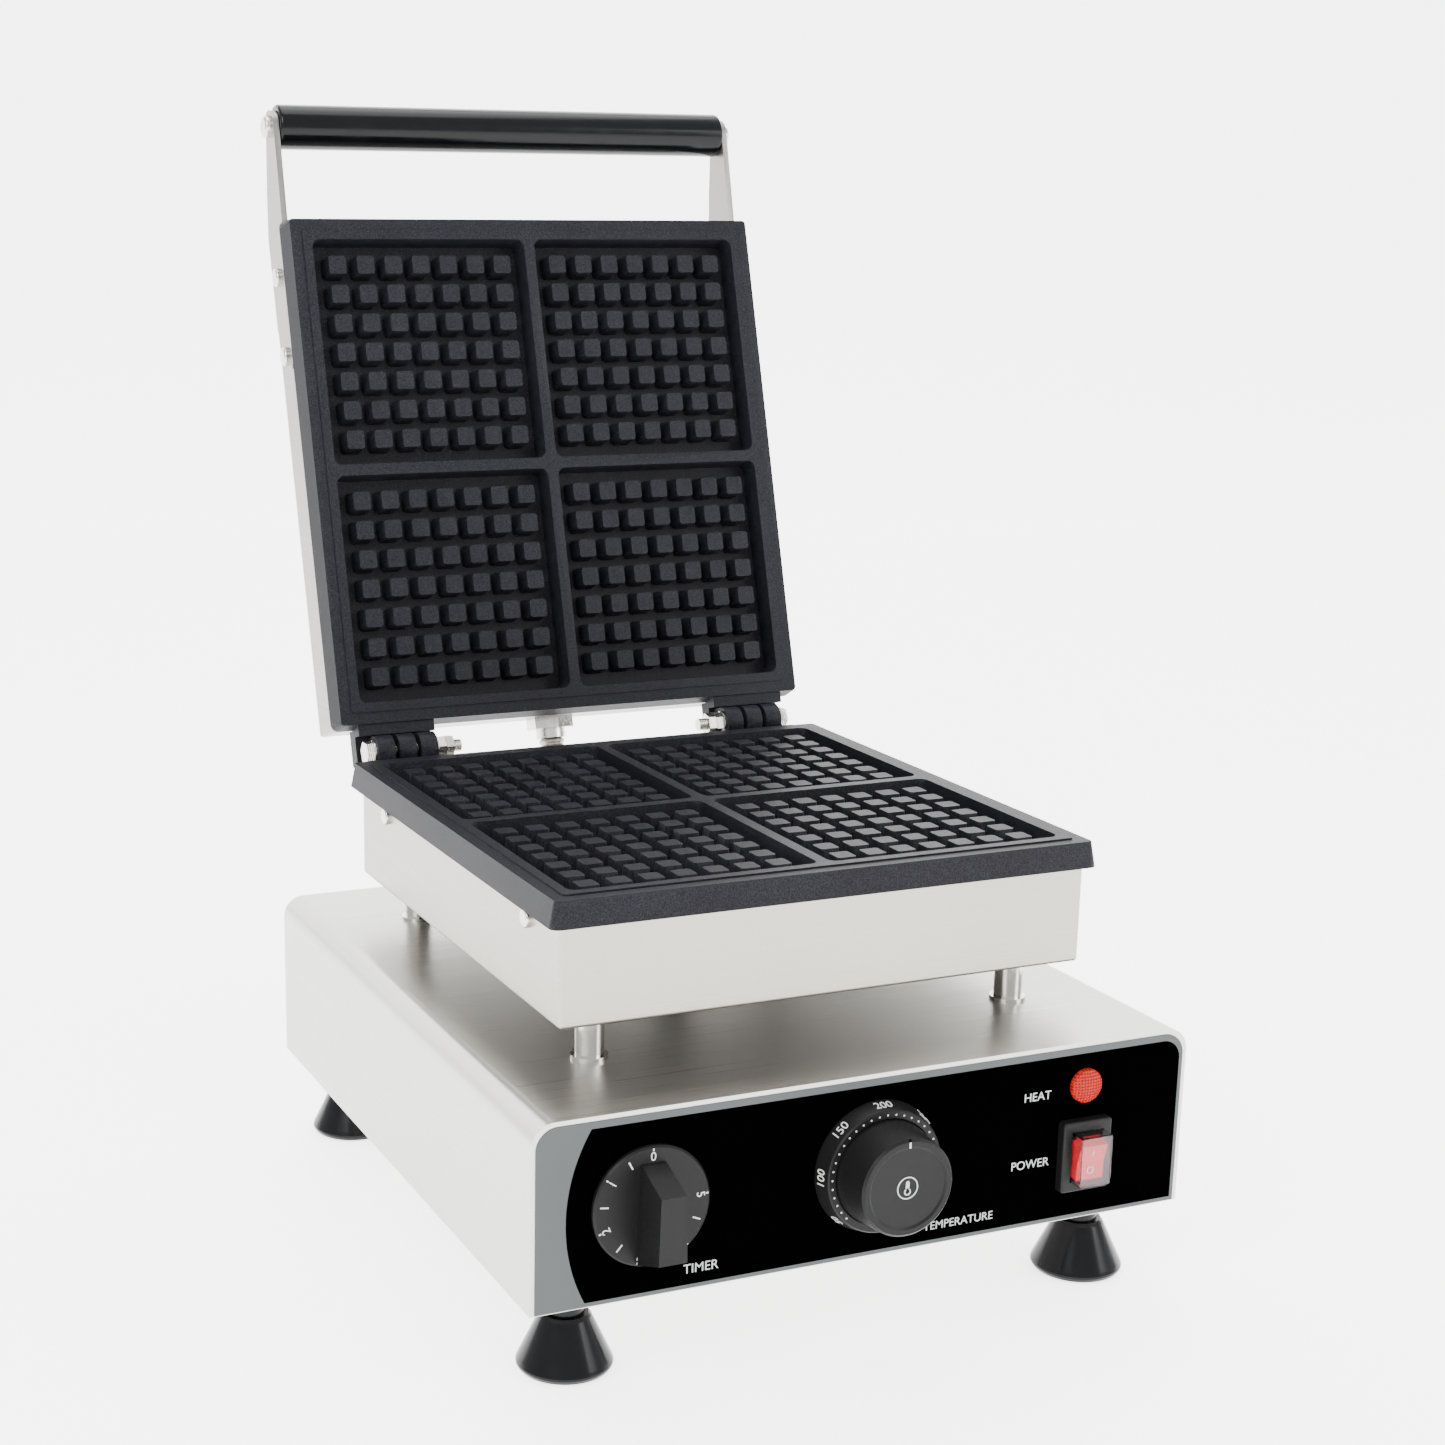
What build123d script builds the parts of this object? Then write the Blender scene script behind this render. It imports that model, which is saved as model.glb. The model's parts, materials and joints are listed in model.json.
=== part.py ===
"""Electric waffle iron with a 2 x 2 grid of square moulds, cast plates and a tilting lid.

Frame: +Z up, the front panel faces -Y, and X runs along the hinge. The origin is on the table,
in the middle of the machine's width and of its overall depth with the lid open.
"""
import os
from math import atan, cos, degrees, radians, sin, tan

from build123d import *

os.makedirs("parts", exist_ok=True)

# ---------------------------------------------------------------- driving dimensions, mm
front_y = -201.46         # front face of the control panel
foot_height = 40.0
steel = 1.2               # base sheet metal
fit_gap = 0.3             # clearance between neighbouring pieces

casing_width, casing_depth, casing_height = 304.0, 327.0, 79.5
casing_edge_radius = 10.0
overlay_width, overlay_height, overlay_thick = 300.0, 77.0, 0.4

foot_x, foot_front, foot_rear = 124.0, 31.0, 306.0     # foot axes, measured from the front face
foot_rim_radius, foot_top_radius, foot_neck_radius = 20.0, 10.2, 8.0
foot_cone_height = 24.5

post_x, post_front, post_rear = 101.0, 62.0, 270.0
post_radius, post_washer_radius, post_washer_thick = 6.2, 8.0, 1.5
air_gap = 20.5                                          # casing top to housing floor

plate = 251.5                                           # cooking plate, square, at its top edge
plate_front = 40.2
skirt_height, skirt_flare, plate_corner = 11.3, 2.15, 4.0
land_size, land_rise = 240.0, 0.7
pocket, pocket_centre, pocket_depth, pocket_corner = 112.6, 59.1, 12.0, 4.0
pocket_draft = 5.0
stud_base, stud_height, stud_draft, stud_pitch, studs = 11.0, 10.5, 5.4, 14.6, 7
rim_width, rim_length, rim_shift = 243.0, 240.8, 0.5
rim_wall, rim_depth, web = 12.0, 9.0, 7.0
closed_gap = 0.3                                        # between the two plates when shut
open_angle = 107.0                                      # from shut to the rest pose

hinge_reach = 14.2                                      # plate edge to hinge axis
knuckle_radius, knuckle_width, knuckle_bore = 8.0, 8.8, 3.05
knuckle_x = {"inner": 79.9, "middle": 91.0, "outer": 102.1}   # inboard face of each knuckle
lug_x0, lug_x1 = 77.5, 117.0
bolt_radius = 3.0

lower_housing_depth, upper_cover_depth, housing_wall = 43.0, 37.0, 1.0
housing_width = 245.6
lower_housing_front, lower_housing_rear = 124.2, 122.2  # from the plate's centre
upper_cover_front, upper_cover_rear = 121.3, 127.5

arm_thick, arm_top_radius = 3.0, 8.0
grip_reach, grip_drop, grip_radius = 303.0, 18.5, 11.0  # from the hinge edge, and behind the face
rod_radius = 4.5
arm_screws_v = (229.0, 189.0)
arm_screw_drop = 27.0

panel_height = 40.0                                     # knob axes above the casing's lower edge
timer_x, thermostat_x, switch_x = -102.0, 0.0, 100.5
lamp_height, switch_height = 60.5, 30.2
conduit_x, conduit_drop, conduit_radius = -3.0, 33.0, 6.6

# ---------------------------------------------------------------- places that follow from them
casing_z = foot_height
casing_top = casing_z + casing_height
casing_front = front_y + overlay_thick
casing_back = front_y + casing_depth
skirt_bottom = land_rise + skirt_height
housing_floor = casing_top + air_gap
land_z = housing_floor + lower_housing_depth + skirt_bottom
hinge_z = land_z + closed_gap / 2
hinge_y = front_y + plate_front + plate + hinge_reach
plate_y = hinge_y - hinge_reach - plate / 2
panel_z = casing_z + panel_height


def swing(y, z):
    """Where a point of the shut lid, given from the hinge axis, is with the lid open."""
    turn = radians(-open_angle)
    return (hinge_y + y * cos(turn) - z * sin(turn), hinge_z + y * sin(turn) + z * cos(turn))


# Each half has its own frame: origin at the middle of its cooking face, +Y towards the hinge,
# +Z out of the cooking face. The upper half is the same casting turned over.
lower = Plane(origin=(0, plate_y, land_z), x_dir=(1, 0, 0), z_dir=(0, 0, 1))
upper_origin = swing(plate_y - hinge_y, closed_gap / 2)
upper = Plane(
    origin=(0, *upper_origin),
    x_dir=(-1, 0, 0),
    z_dir=(0, -sin(radians(open_angle)), -cos(radians(open_angle))),
)


def local_plane(frame, origin, z_dir, x_dir):
    """A plane given in a frame's own coordinates."""
    start = frame.from_local_coords(origin)
    normal = frame.from_local_coords(z_dir) - frame.origin
    across = frame.from_local_coords(x_dir) - frame.origin
    return Plane(origin=start, x_dir=across, z_dir=normal)


def across_plane(frame, x):
    """Sketch (y, z) of the frame at a given x; it extrudes towards +x."""
    return local_plane(frame, (x, 0, 0), (1, 0, 0), (0, 1, 0))


def panel_plane(y):
    """Sketch (x, z) facing the user at a given y; it extrudes towards -Y."""
    return Plane(origin=(0, y, 0), x_dir=(1, 0, 0), z_dir=(0, -1, 0))


def save(piece, name):
    piece.part.label = name
    export_step(piece.part, f"parts/{name}.step")


def turned(plane, *outlines):
    """Solids of revolution about the plane's own Y axis, from outlines of (radius, height)."""
    with BuildPart() as piece:
        with BuildSketch(plane):
            for outline in outlines:
                with BuildLine():
                    Polyline(*outline, close=True)
                make_face()
        revolve(axis=Axis(plane.origin, plane.y_dir))
    return piece


def upright(x, y, z=0.0):
    """A plane whose own Y axis stands along +Z at (x, y)."""
    return Plane(origin=(x, y, z), x_dir=(1, 0, 0), z_dir=(0, -1, 0))


def outward(x, z, y=0.0):
    """A plane whose own Y axis points along -Y, out of the front panel, at (x, z)."""
    return Plane(origin=(x, y, z), x_dir=(1, 0, 0), z_dir=(0, 0, -1))


def pins(plane, places, radius, length, bore=0.0):
    """Round bars or tubes along the plane's normal."""
    with BuildPart() as piece:
        with BuildSketch(plane):
            with Locations(*places):
                Circle(radius)
                if bore:
                    Circle(bore, mode=Mode.SUBTRACT)
        extrude(amount=length)
    return piece


def hex_nuts(plane, places, flats, height, bore):
    with BuildPart() as piece:
        with BuildSketch(plane):
            with Locations(*places):
                RegularPolygon(flats / 2, 6, major_radius=False)
                Circle(bore, mode=Mode.SUBTRACT)
        extrude(amount=height)
    return piece


def screws(sets, shank, length, head, head_height):
    """Pan-head screws: the heads stand on each plane at its places, the shanks go through it."""
    with BuildPart() as piece:
        for plane, places in sets:
            with BuildSketch(plane):
                with Locations(*places):
                    Circle(head)
            extrude(amount=head_height)
            rims = piece.edges(Select.LAST).filter_by(GeomType.CIRCLE)
            fillet(rims.group_by(Axis(plane.origin, plane.z_dir))[-1], head_height * 0.45)
            with BuildSketch(plane):
                with Locations(*places):
                    Circle(shank)
            extrude(amount=-length)
    return piece


def hex_bolts(plane, places, radius, length, flats, head_height):
    """Hex-head bolts: the heads stand on the plane, the shanks go through it."""
    with BuildPart() as piece:
        with BuildSketch(plane):
            with Locations(*places):
                RegularPolygon(flats / 2, 6, major_radius=False)
        extrude(amount=head_height)
        with BuildSketch(plane):
            with Locations(*places):
                Circle(radius)
        extrude(amount=-length)
    return piece


def tube(route, radii, outside, inside=0.0):
    """A round tube along straight runs joined by tangent arcs."""
    with BuildPart() as piece:
        with BuildLine():
            run = FilletPolyline(*route, radius=radii)
        with BuildSketch(Plane(origin=run @ 0, z_dir=run % 0)):
            Circle(outside)
            if inside:
                Circle(inside, mode=Mode.SUBTRACT)
        sweep()
    return piece


# ---------------------------------------------------------------- base casing
feet = {
    "front_left": (-foot_x, front_y + foot_front),
    "front_right": (foot_x, front_y + foot_front),
    "rear_left": (-foot_x, front_y + foot_rear),
    "rear_right": (foot_x, front_y + foot_rear),
}
foot_places = list(feet.values())
foot_bore, foot_seat, foot_recess = 3.2, 14.0, 7.0
post_places = [(x, front_y + y) for x in (-post_x, post_x) for y in (post_front, post_rear)]
sleeve_place = (0.0, plate_y + 30.0)
sleeve_radius, sleeve_bore = 8.0, 6.5
conduit_place = (conduit_x, hinge_y + 6.0)
conduit_hole = 8.6
gland_x, gland_z, gland_bore, gland_thread = 108.0, casing_z + 38.0, 4.6, 8.0
return_flange = 14.0
bushing_radius, shaft_radius = 5.0, 3.0
control_screw_offset, control_screw = 14.0, 2.0
control_screw_places = [
    (x + side * control_screw_offset, panel_z) for x in (timer_x, thermostat_x) for side in (-1, 1)
]
cutout_width, cutout_height = 20.6, 28.6
lamp_hole = 6.2
tray_screw_x = casing_width / 2 - steel - return_flange / 2
tray_screw_places = [
    (side * tray_screw_x, (casing_front + casing_back) / 2 + step * 120.0)
    for side in (-1, 1) for step in (-1, 0, 1)
]

with BuildPart() as base_casing:
    with BuildSketch(panel_plane(casing_front)):
        with Locations((0, casing_z + casing_height / 2)):
            Rectangle(casing_width, casing_height)
    extrude(amount=-(casing_back - casing_front))
    long_top = base_casing.edges().filter_by(Axis.Y).group_by(Axis.Z)[-1]
    fillet(long_top, casing_edge_radius)
    with BuildSketch(panel_plane(casing_front + steel)) as inside:
        with Locations((0, casing_z + (casing_height - steel) / 2)):
            Rectangle(casing_width - 2 * steel, casing_height - steel)
        fillet(inside.vertices().group_by(Axis.Y)[-1], casing_edge_radius - steel)
    extrude(amount=-(casing_back - casing_front - 2 * steel), mode=Mode.SUBTRACT)
    # inward flanges that carry the bottom plate
    with BuildSketch(Plane.XY.offset(casing_z + steel)):
        for side in (-1, 1):
            with Locations((side * (casing_width / 2 - steel - return_flange / 2),
                            (casing_front + casing_back) / 2)):
                Rectangle(return_flange, casing_back - casing_front - 2 * steel)
    extrude(amount=steel)
    # panel openings
    with BuildSketch(panel_plane(casing_front)):
        with Locations((timer_x, panel_z), (thermostat_x, panel_z)):
            Circle(bushing_radius)
        with Locations((switch_x, casing_z + switch_height)):
            Rectangle(cutout_width, cutout_height)
        with Locations((switch_x, casing_z + lamp_height)):
            Circle(lamp_hole)
        with Locations(*control_screw_places):
            Circle(control_screw + 0.2)
    extrude(amount=-steel, mode=Mode.SUBTRACT)
    # top openings
    with BuildSketch(Plane.XY.offset(casing_top)):
        with Locations(*post_places):
            Circle(foot_bore)
        with Locations(sleeve_place):
            Circle(sleeve_radius)
        with Locations(conduit_place):
            Circle(conduit_hole)
    extrude(amount=-steel, mode=Mode.SUBTRACT)
    # cord inlet in the back
    with BuildSketch(panel_plane(casing_back)):
        with Locations((gland_x, gland_z)):
            Circle(gland_thread)
    extrude(amount=steel, mode=Mode.SUBTRACT)
    # holes for the bottom plate's screws
    with BuildSketch(Plane.XY.offset(casing_z + steel)):
        with Locations(*tray_screw_places):
            Circle(1.7)
    extrude(amount=steel, mode=Mode.SUBTRACT)
save(base_casing, "base_casing")

with BuildPart() as bottom_plate:
    with BuildSketch(Plane.XY.offset(casing_z)):
        with Locations((0, (casing_front + casing_back) / 2)):
            Rectangle(casing_width - 2 * (steel + fit_gap), casing_back - casing_front - 2 * (steel + fit_gap))
            with GridLocations(20.0, 90.0, 7, 2):
                SlotOverall(40.0, 5.0, rotation=90, mode=Mode.SUBTRACT)
        with Locations(*foot_places):
            Circle(foot_bore, mode=Mode.SUBTRACT)
        with Locations(*tray_screw_places):
            Circle(1.8, mode=Mode.SUBTRACT)
    extrude(amount=steel)
save(bottom_plate, "bottom_plate")
tray_under = Plane(origin=(0, 0, casing_z), x_dir=(1, 0, 0), z_dir=(0, 0, -1))
tray_sets = [(tray_under, [(x, -y) for x, y in tray_screw_places])]
save(screws(tray_sets, 1.65, 6.0, 3.2, 1.8), "bottom_plate_screws")

with BuildPart() as front_overlay:
    with BuildSketch(panel_plane(casing_front)) as sheet:
        with Locations((0, casing_z + 0.5 + overlay_height / 2)):
            Rectangle(overlay_width, overlay_height)
        fillet(sheet.vertices().group_by(Axis.Y)[-1], casing_edge_radius - 0.5)
        with Locations((timer_x, panel_z), (thermostat_x, panel_z)):
            Circle(bushing_radius + 0.2, mode=Mode.SUBTRACT)
        with Locations((switch_x, casing_z + switch_height)):
            Rectangle(cutout_width, cutout_height, mode=Mode.SUBTRACT)
        with Locations((switch_x, casing_z + lamp_height)):
            Circle(lamp_hole, mode=Mode.SUBTRACT)
        with Locations(*control_screw_places):
            Circle(control_screw + 0.2, mode=Mode.SUBTRACT)
    extrude(amount=overlay_thick)
save(front_overlay, "front_overlay")

# ---------------------------------------------------------------- feet
for name, (x, y) in feet.items():
    foot = turned(upright(x, y), [
        (foot_recess, 0), (foot_rim_radius - 3.0, 0), (foot_rim_radius - 1.0, 1.0),
        (foot_rim_radius, 2.6), (foot_rim_radius, 3.6), (foot_rim_radius - 0.6, 5.0),
        (foot_top_radius + 0.6, foot_cone_height - 1.4), (foot_top_radius - 0.6, foot_cone_height),
        (foot_neck_radius, foot_cone_height), (foot_neck_radius, casing_z), (foot_bore, casing_z),
        (foot_bore, foot_seat), (foot_recess, foot_seat),
    ])
    save(foot, f"foot_{name}")

foot_under = Plane(origin=(0, 0, foot_seat), x_dir=(1, 0, 0), z_dir=(0, 0, -1))
save(hex_bolts(foot_under, [(x, -y) for x, y in foot_places], bolt_radius,
               casing_z + steel + 8.0 - foot_seat, 10.0, 4.0), "foot_bolts")

# ---------------------------------------------------------------- posts that carry the cooking unit
save(pins(Plane.XY.offset(casing_top + post_washer_thick), post_places, post_radius,
          air_gap - post_washer_thick, foot_bore), "support_posts")
save(pins(Plane.XY.offset(casing_top), post_places, post_washer_radius, post_washer_thick, foot_bore),
     "post_washers")
post_bolt_top = housing_floor + housing_wall
save(hex_bolts(Plane.XY.offset(post_bolt_top), post_places, bolt_radius,
               post_bolt_top - casing_top + steel + 8.0, 10.0, 4.0), "post_bolts")
nut_height, nut_flats, nut_bore = 5.0, 10.0, bolt_radius + 0.05
with BuildPart() as base_nuts:
    for height, places in ((casing_z + steel, foot_places), (casing_top - steel - nut_height, post_places)):
        with BuildSketch(Plane.XY.offset(height)):
            with Locations(*places):
                RegularPolygon(nut_flats / 2, 6, major_radius=False)
                Circle(nut_bore, mode=Mode.SUBTRACT)
        extrude(amount=nut_height)
save(base_nuts, "base_nuts")
lead_sleeve = turned(upright(*sleeve_place, casing_top), [
    (sleeve_bore, -steel - 4.0), (sleeve_radius, -steel - 4.0), (sleeve_radius, 0), (11.0, 0), (11.0, 2.0),
    (sleeve_radius, 2.0), (sleeve_radius, air_gap - 2.0), (11.0, air_gap - 2.0), (11.0, air_gap),
    (sleeve_radius, air_gap), (sleeve_radius, air_gap + 4.0), (sleeve_bore, air_gap + 4.0),
])
save(lead_sleeve, "lead_sleeve")

# ---------------------------------------------------------------- cooking plates
hinge_v = plate / 2 + hinge_reach
axis_z = closed_gap / 2
lug_front, lug_back, lug_top, lug_web, lug_bottom = -8.6, 6.0, -2.0, -9.0, -17.0
housing_screw_drop, housing_screw = 17.5, 2.0
lower_screw_y = (-90.2, 84.8)
upper_screw_y = (-40.0, 84.8)
clamp_bar_y, clamp_bolt_x, clamp_bolt = (-45.0, 5.0), (-60.0, 60.0), 2.5
clamp_places = [(x, y) for x in clamp_bolt_x for y in clamp_bar_y]


def hinge_lug(frame, side, knuckles):
    """One hinge lug: a web behind the plate with its knuckles; side is -1 or 1 along x."""
    with BuildPart() as piece:
        with BuildSketch(across_plane(frame, lug_x0 if side > 0 else -lug_x1)):
            with BuildLine():
                Polyline(
                    (plate / 2 - 0.8, axis_z + lug_top), (hinge_v + lug_front, axis_z + lug_top),
                    (hinge_v + lug_front, axis_z + lug_web), (hinge_v + lug_back, axis_z + lug_web),
                    (hinge_v + lug_back, axis_z + lug_bottom), (plate / 2 + 2.3, axis_z + lug_bottom),
                    (plate / 2 + 2.3, -skirt_bottom), (plate / 2 - 0.8, -skirt_bottom), close=True,
                )
            make_face()
        extrude(amount=lug_x1 - lug_x0)
        for key in knuckles:
            start = knuckle_x[key] if side > 0 else -knuckle_x[key] - knuckle_width
            with BuildSketch(across_plane(frame, start)):
                with Locations((hinge_v, axis_z)):
                    Circle(knuckle_radius)
                with BuildLine():
                    Polyline(
                        (hinge_v - knuckle_radius, axis_z), (hinge_v - knuckle_radius, axis_z + lug_web - 1.0),
                        (hinge_v + lug_back, axis_z + lug_web - 1.0), (hinge_v + lug_back, axis_z), close=True,
                    )
                make_face()
                with Locations((hinge_v, axis_z)):
                    Circle(knuckle_bore, mode=Mode.SUBTRACT)
            extrude(amount=knuckle_width)
    return piece


def side_sets(frame, x, places):
    """The two sides of a half at +-x, each with its places of (y, z)."""
    right = local_plane(frame, (x, 0, 0), (1, 0, 0), (0, 1, 0))
    left = local_plane(frame, (-x, 0, 0), (-1, 0, 0), (0, 1, 0))
    return [(right, places), (left, [(y, -z) for y, z in places])]


def cooking_plate(frame, screw_y):
    """Cast plate: four moulds of 7 x 7 studs, a drafted skirt, a rim below and two hinge lugs."""
    skirt_taper = degrees(atan(skirt_flare / skirt_height))
    pocket_floor = pocket - 2 * pocket_depth * tan(radians(pocket_draft))
    left_lug = hinge_lug(frame, -1, ("inner", "outer"))
    right_lug = hinge_lug(frame, 1, ("middle",))
    with BuildPart() as piece:
        with BuildSketch(frame.offset(-skirt_bottom)):
            RectangleRounded(plate + 2 * skirt_flare, plate + 2 * skirt_flare, plate_corner)
        extrude(amount=skirt_height, taper=skirt_taper)
        with BuildSketch(frame.offset(-land_rise)):
            RectangleRounded(land_size, land_size, 2.0)
        extrude(amount=land_rise)
        with BuildSketch(frame.offset(-skirt_bottom)):
            with Locations((0, rim_shift)):
                Rectangle(rim_width, rim_length)
        extrude(amount=-rim_depth)
        with BuildSketch(frame.offset(-skirt_bottom - web)):
            with Locations((0, rim_shift)):
                Rectangle(rim_width - 2 * rim_wall, rim_length - 2 * rim_wall)
        extrude(amount=-(rim_depth - web), mode=Mode.SUBTRACT)
        add(left_lug.part)
        add(right_lug.part)
        with BuildSketch(frame.offset(-pocket_depth)):
            with GridLocations(2 * pocket_centre, 2 * pocket_centre, 2, 2):
                RectangleRounded(pocket_floor, pocket_floor, pocket_corner - 1.0)
        extrude(amount=pocket_depth, taper=-pocket_draft, mode=Mode.SUBTRACT)
        with BuildSketch(frame.offset(-skirt_bottom - web)):
            with Locations(*clamp_places):
                Circle(clamp_bolt)
        extrude(amount=5.0, mode=Mode.SUBTRACT)
        for plane, places in side_sets(frame, rim_width / 2, [(y, -housing_screw_drop) for y in screw_y]):
            with BuildSketch(plane):
                with Locations(*places):
                    Circle(housing_screw)
            extrude(amount=-10.0, mode=Mode.SUBTRACT)
        with BuildSketch(frame.offset(-pocket_depth)):
            with GridLocations(2 * pocket_centre, 2 * pocket_centre, 2, 2):
                with GridLocations(stud_pitch, stud_pitch, studs, studs):
                    RectangleRounded(stud_base, stud_base, 2.4)
        extrude(amount=stud_height, taper=stud_draft)
    return piece


save(cooking_plate(lower, lower_screw_y), "lower_plate")
save(cooking_plate(upper, upper_screw_y), "upper_plate")


# ---------------------------------------------------------------- housings
def housing(frame, front, rear, depth, screw_y):
    """Folded sheet-metal box, open towards its plate."""
    middle = (0, (rear - front) / 2)
    with BuildPart() as piece:
        with BuildSketch(frame.offset(-skirt_bottom)):
            with Locations(middle):
                RectangleRounded(housing_width, front + rear, 1.6)
        extrude(amount=-depth)
        normal = Axis(frame.origin, frame.z_dir)
        fillet(piece.faces().sort_by(normal)[0].edges(), 1.4)
        with BuildSketch(frame.offset(-skirt_bottom)):
            with Locations(middle):
                Rectangle(housing_width - 2 * housing_wall, front + rear - 2 * housing_wall)
        extrude(amount=housing_wall - depth, mode=Mode.SUBTRACT)
        for plane, places in side_sets(frame, housing_width / 2, [(y, -housing_screw_drop) for y in screw_y]):
            with BuildSketch(plane):
                with Locations(*places):
                    Circle(housing_screw + 0.2)
            extrude(amount=-housing_wall, mode=Mode.SUBTRACT)
    return piece


with BuildPart() as lower_housing:
    add(housing(lower, lower_housing_front, lower_housing_rear, lower_housing_depth, lower_screw_y).part)
    with BuildSketch(Plane.XY.offset(housing_floor)):
        with Locations(*post_places):
            Circle(foot_bore)
        with Locations(sleeve_place):
            Circle(sleeve_radius + 0.1)
    extrude(amount=housing_wall, mode=Mode.SUBTRACT)
save(lower_housing, "lower_housing")

cover_back = local_plane(upper, (0, upper_cover_rear, 0), (0, 1, 0), (1, 0, 0))
arm_places = [(plate / 2 - v, -arm_screw_drop) for v in arm_screws_v]
fitting_place = (-conduit_x, conduit_drop)
with BuildPart() as upper_cover:
    add(housing(upper, upper_cover_front, upper_cover_rear, upper_cover_depth, upper_screw_y).part)
    with BuildSketch(cover_back):
        with Locations(fitting_place):
            Circle(gland_thread)
    extrude(amount=-housing_wall, mode=Mode.SUBTRACT)
    for plane, places in side_sets(upper, housing_width / 2, arm_places):
        with BuildSketch(plane):
            with Locations(*places):
                Circle(2.7)
        extrude(amount=-housing_wall, mode=Mode.SUBTRACT)
save(upper_cover, "upper_cover")

for name, frame, screw_y in (("lower_housing", lower, lower_screw_y), ("upper_cover", upper, upper_screw_y)):
    sets = side_sets(frame, housing_width / 2, [(y, -housing_screw_drop) for y in screw_y])
    save(screws(sets, housing_screw - 0.05, 9.0, 4.2, 2.4), f"{name}_screws")

# ---------------------------------------------------------------- heating
element_radius, element_bend = 3.75, 20.0
element_z = -(skirt_bottom + web + element_radius)
element_route = [
    (-90, 88), (-90, -85), (-30, -85), (-30, 60), (30, 60), (30, -85), (90, -85), (90, 88),
]
bar_thick, bar_width, bar_length = 2.0, 15.0, 204.0
bar_z = element_z - element_radius
wool_top, wool_thick = 32.0, 15.0
for name, frame in (("lower", lower), ("upper", upper)):
    route = [frame.from_local_coords((x, y, element_z)) for x, y in element_route]
    with BuildPart() as element:
        add(tube(route, element_bend, element_radius).part)
        for end in (-90, 90):
            with BuildSketch(local_plane(frame, (end, 88, element_z), (0, 1, 0), (1, 0, 0))):
                Circle(1.8)
            extrude(amount=12.0)
    save(element, f"{name}_element")
    with BuildPart() as bars:
        with BuildSketch(frame.offset(bar_z)):
            with Locations(*[(0, y) for y in clamp_bar_y]):
                Rectangle(bar_length, bar_width)
            with Locations(*clamp_places):
                Circle(clamp_bolt + 0.2, mode=Mode.SUBTRACT)
        extrude(amount=-bar_thick)
    save(bars, f"{name}_clamp_bars")
    under = local_plane(frame, (0, 0, bar_z - bar_thick), (0, 0, -1), (1, 0, 0))
    places = [(x, -y) for x, y in clamp_places]
    save(hex_bolts(under, places, clamp_bolt - 0.05, -bar_z + bar_thick - skirt_bottom - web + 4.0, 8.0, 3.5),
         f"{name}_clamp_bolts")
    with BuildPart() as wool:
        with BuildSketch(frame.offset(-wool_top)):
            with Locations((0, -6)):
                RectangleRounded(222, 216, 4)
            if frame is lower:
                with Locations((sleeve_place[0], sleeve_place[1] - plate_y)):
                    Circle(sleeve_radius + 2, mode=Mode.SUBTRACT)
        extrude(amount=-wool_thick)
    save(wool, f"{name}_insulation")

# ---------------------------------------------------------------- hinge hardware
outboard = knuckle_x["outer"] + knuckle_width
washer_thick, washer_radius = 1.0, 6.0


def hinge_sets(x):
    """Planes square to the hinge axis at +-x, facing outboard, with the axis as the only place."""
    right = Plane(origin=(x, hinge_y, hinge_z), x_dir=(0, 1, 0), z_dir=(1, 0, 0))
    left = Plane(origin=(-x, hinge_y, hinge_z), x_dir=(0, 1, 0), z_dir=(-1, 0, 0))
    return [right, left]


with BuildPart() as hinge_bolts:
    for plane in hinge_sets(outboard + washer_thick):
        with BuildSketch(plane):
            RegularPolygon(nut_flats / 2, 6, major_radius=False)
        extrude(amount=4.0)
        with BuildSketch(plane):
            Circle(bolt_radius)
        extrude(amount=-46.0)
save(hinge_bolts, "hinge_bolts")
with BuildPart() as hinge_washers:
    for inner_face in (outboard + 0.05, knuckle_x["inner"] - washer_thick - 0.05):
        for plane in hinge_sets(inner_face):
            with BuildSketch(plane):
                Circle(washer_radius)
                Circle(bolt_radius + 0.05, mode=Mode.SUBTRACT)
            extrude(amount=washer_thick - 0.05)
save(hinge_washers, "hinge_washers")
with BuildPart() as hinge_nuts:
    for inner_face in (knuckle_x["inner"] - 5.2, knuckle_x["inner"] - 9.4):
        for plane in hinge_sets(inner_face):
            with BuildSketch(plane):
                RegularPolygon(nut_flats / 2, 6, major_radius=False, rotation=inner_face)
                Circle(nut_bore, mode=Mode.SUBTRACT)
            extrude(amount=4.0)
save(hinge_nuts, "hinge_nuts")

# ---------------------------------------------------------------- handle
grip_y = plate / 2 - grip_reach
arm_outline = [
    (303.0, -10.5), (188.0, -16.0), (181.5, -21.0), (183.5, -29.5), (205.0, -39.0), (252.0, -39.0),
    (275.0, -33.0), (299.0, -25.4),
]
for name, start in (("left", housing_width / 2), ("right", -housing_width / 2 - arm_thick)):
    with BuildPart() as arm:
        with BuildSketch(across_plane(upper, start)):
            with BuildLine():
                Polyline(*[(plate / 2 - v, w) for v, w in arm_outline], close=True)
            make_face()
            with Locations((grip_y, -grip_drop)):
                Circle(arm_top_radius)
                Circle(2.7, mode=Mode.SUBTRACT)
            with Locations(*arm_places):
                Circle(2.7, mode=Mode.SUBTRACT)
        extrude(amount=arm_thick)
    save(arm, f"handle_arm_{name}")
grip_end = housing_width / 2
handle_axis = across_plane(upper, -grip_end)
save(pins(handle_axis, [(grip_y, -grip_drop)], rod_radius, 2 * grip_end, 2.5), "handle_rod")
with BuildPart() as handle_grip:
    with BuildSketch(across_plane(upper, -grip_end + 0.3)):
        with Locations((grip_y, -grip_drop)):
            Circle(grip_radius)
            Circle(rod_radius + 0.1, mode=Mode.SUBTRACT)
    extrude(amount=2 * grip_end - 0.6)
    rims = handle_grip.edges().filter_by(GeomType.CIRCLE).sort_by(lambda edge: edge.radius)[-2:]
    fillet(rims, 1.5)
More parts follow.
